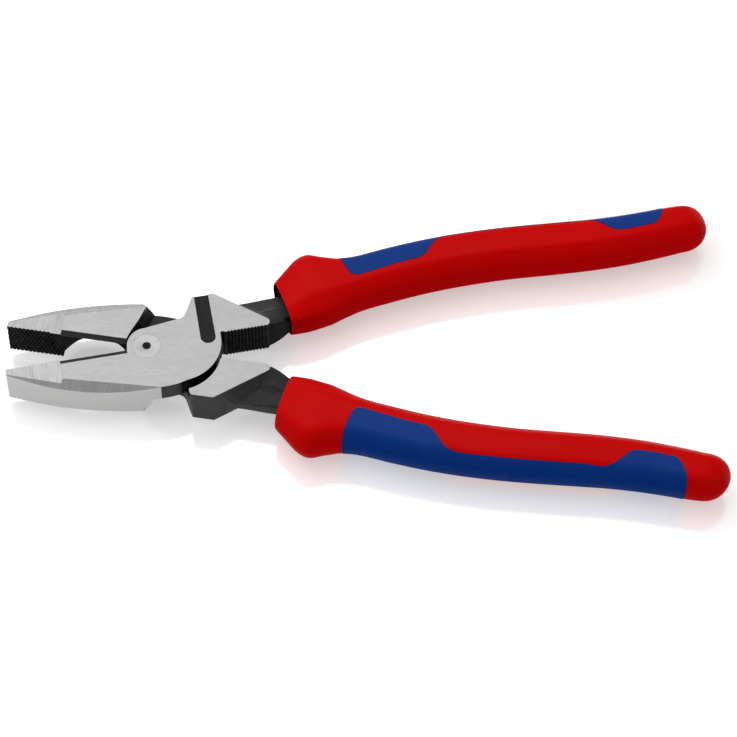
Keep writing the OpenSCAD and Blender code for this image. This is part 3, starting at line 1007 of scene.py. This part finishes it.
# rivet: straight shank, countersunk heads with a turned lip and a punch mark in each
prof = [(0.0, -HZ + 0.95), (0.12, -HZ + 0.93), (0.55, -HZ + 0.62), (1.22, -HZ + 0.06), (1.42, -HZ + 0.0),
        (4.55, -HZ), (4.585, -HZ + 0.03), (3.99, -HZ + 0.95)]
prof = prof + [(r, -z) for r, z in prof[::-1]]
rivet = fix_normals(lathe(prof, 128))
rivet.data.materials.append(ground_steel("rivet_ground", -HALF, "x", 0.365, 0.42, 0.10, 1.6e-5))
dark = black_oxide("rivet_mark", -HALF, 0.012, 0.6)
rivet.data.materials.append(dark)
for p in rivet.data.polygons:
    r = math.hypot(p.center.x, p.center.y)
    if r < 1.36 and abs(p.center.z) < HZ - 0.01:
        p.material_index = 1
shade(rivet, 30, 8.0)
place(rivet, "pivot_rivet_turned", MA, "lever_a_body", "pivot_rivet")

red = plastic("hard_red", (0.66, 0.0, 0.0), 0.40, 2400, 1.6e-5, 0.05, 0.03, (0.68, 0.02, 0.02))
blue = plastic("soft_blue", (0.0002, 0.038, 0.25), 0.44, 1500, 9.0e-5, 0.12, 0.06)
# a near-black red, painted shade for the socket behind each grip's mouth
socket = plastic("socket_shade", (0.05, 0.001, 0.001), 0.6, 1500, 4.0e-5, 0.0, 0.06)
for tag, M in (("a", MA), ("b", MB)):
    hard, soft = build_grip()
    for o, mat in ((hard, red), (soft, blue)):
        o.data.materials.clear()
        o.data.materials.append(mat)
        for p in o.data.polygons:
            p.material_index = 0
        if o is hard:
            # the socket behind the mouth takes a near-black red: painted shade for the recess
            o.data.materials.append(socket)
            for p in o.data.polygons:
                c, n = p.center, p.normal
                m = grip_dims(max(47.2, c.x))[0]
                if c.x < 57 and ((c.y - m) * n.y + c.z * n.z < -0.3 or (n.x < -0.7 and c.x > 47.9 and c.y < m)
                                 or (n.x < -0.7 and c.x > 46.9 and c.y > m)):
                    p.material_index = 1
        shade(o, 34)
    place(hard, f"grip_{tag}_hard_shell", M, f"lever_{tag}_body", f"hard_grip_{tag}")
    place(soft, f"grip_{tag}_soft_pad", M, f"lever_{tag}_body", f"soft_pad_{tag}")

# ------------------------------------------------------------------ stage, light, camera
floor_z = -0.0031


def stage_floor():
    me = mesh_of([(-3, -3, floor_z), (3, -3, floor_z), (3, 6, floor_z), (-3, 6, floor_z)], [(0, 1, 2, 3)], "stage_floor")
    o = add(me, "stage_floor")
    m = Mat("pale_floor")
    n = m.noise(m.space(0, (1, 1, 1)), 30, 2, 0.5)
    col = m.ramp(n, [(0.3, (0.90, 0.90, 0.90)), (0.7, (0.91, 0.91, 0.91))])
    lp = m.node("ShaderNodeLightPath")
    seen = m.math("MAXIMUM", lp.outputs["Is Camera Ray"], lp.outputs["Is Glossy Ray"])
    glow = m.math("MULTIPLY", seen, 0.43)
    mat = m.out(**{"Base Color": col, "Roughness": 0.12, "Specular IOR Level": 0.5, "Metallic": 0.22,
                   "Emission Color": (1.0, 1.0, 1.0), "Emission Strength": glow})
    # clear from below, so the underside of the pliers can be seen
    end = next(k for k in mat.node_tree.nodes if k.type == "OUTPUT_MATERIAL")
    top = end.inputs["Surface"].links[0].from_socket
    geo = m.node("ShaderNodeNewGeometry")
    clear = m.node("ShaderNodeBsdfTransparent")
    mix = m.node("ShaderNodeMixShader")
    m.link(geo.outputs["Backfacing"], mix.inputs[0])
    m.link(top, mix.inputs[1])
    m.link(clear.outputs[0], mix.inputs[2])
    m.link(mix.outputs[0], end.inputs["Surface"])
    me.materials.append(mat)
    return o


stage_floor()

world = D.worlds.new("soft_white")
scene.world = world
world.use_nodes = True
bg = world.node_tree.nodes["Background"]
bg.inputs["Color"].default_value = (1, 1, 1, 1)
bg.inputs["Strength"].default_value = 0.40
# a soft bright band near the horizon, seen only in reflections, as studio walls would be
wt = world.node_tree
w_dir = wt.nodes.new("ShaderNodeTexCoord")
w_sep = wt.nodes.new("ShaderNodeSeparateXYZ")
w_band = wt.nodes.new("ShaderNodeMapRange")
w_path = wt.nodes.new("ShaderNodeLightPath")
w_mul = wt.nodes.new("ShaderNodeMath")
w_add = wt.nodes.new("ShaderNodeMath")
w_mul.operation, w_add.operation = "MULTIPLY", "MULTIPLY_ADD"
for key, val in (("From Min", 0.54), ("From Max", 0.34), ("To Min", 0.0), ("To Max", 1.0)):
    w_band.inputs[key].default_value = val
wt.links.new(w_dir.outputs["Generated"], w_sep.inputs[0])
wt.links.new(w_sep.outputs["Z"], w_band.inputs["Value"])
wt.links.new(w_band.outputs["Result"], w_mul.inputs[0])
wt.links.new(w_path.outputs["Is Glossy Ray"], w_mul.inputs[1])
wt.links.new(w_mul.outputs[0], w_add.inputs[0])
w_add.inputs[1].default_value = 1.1
w_add.inputs[2].default_value = bg.inputs["Strength"].default_value
wt.links.new(w_add.outputs[0], bg.inputs["Strength"])


def area(name, loc, target, size, power, color=(1, 1, 1), size_y=None):
    li = D.lights.new(name, "AREA")
    li.shape = "RECTANGLE"
    li.size, li.size_y = size, size_y or size
    li.energy = power
    li.color = color
    o = D.objects.new(name, li)
    coll.objects.link(o)
    d = Vector(target) - Vector(loc)
    o.matrix_world = T(Vector(loc)) @ d.to_track_quat("-Z", "Y").to_matrix().to_4x4()
    return o


area("key_top", (-0.15, 0.35, 0.9), (0.07, 0, 0), 0.9, 4.8)
area("fill_left", (-0.8, -0.3, 0.6), (0.0, 0, 0), 0.6, 0.9)

# camera: the photograph's pinhole, 57.4 degrees above the floor
K = 0.981e-3
F_PX, ELEV, ROLL, YAW = 3174.0, math.radians(57.39), math.radians(1.415), math.radians(2.567)
DIST = F_PX / 3.016
PIV = (146.64, 345.65)
fwd = Vector((0, math.cos(ELEV), -math.sin(ELEV)))
up = Vector((0, math.sin(ELEV), math.cos(ELEV)))
right = Vector((1, 0, 0))
ax = right * math.cos(ROLL) + up * math.sin(ROLL)
ay = up * math.cos(ROLL) - right * math.sin(ROLL)
eye = -fwd * DIST
du, dv = PIV[0] - 368.5, PIV[1] - 368.5
ray = fwd * F_PX + ax * du - ay * dv
hit = eye - ray * (eye.z / ray.z)          # the pivot's place on the head's front face plane
R = Matrix.Rotation(-YAW, 3, "Z")
cam_pos = R @ (eye - hit) * K + Vector((0, 0, 2 * HZ * 0.001))
cx, cy, cz = R @ ax, R @ ay, R @ (-fwd)
cam_data = D.cameras.new("camera")
cam_data.sensor_width = 36.0
cam_data.lens = F_PX / 737.0 * 36.0
cam_data.clip_start, cam_data.clip_end = 0.05, 20
cam = D.objects.new("camera", cam_data)
coll.objects.link(cam)
cam.matrix_world = Matrix(((cx.x, cy.x, cz.x, cam_pos.x), (cx.y, cy.y, cz.y, cam_pos.y),
                           (cx.z, cy.z, cz.z, cam_pos.z), (0, 0, 0, 1)))
scene.camera = cam
scene.view_settings.view_transform = "Standard"
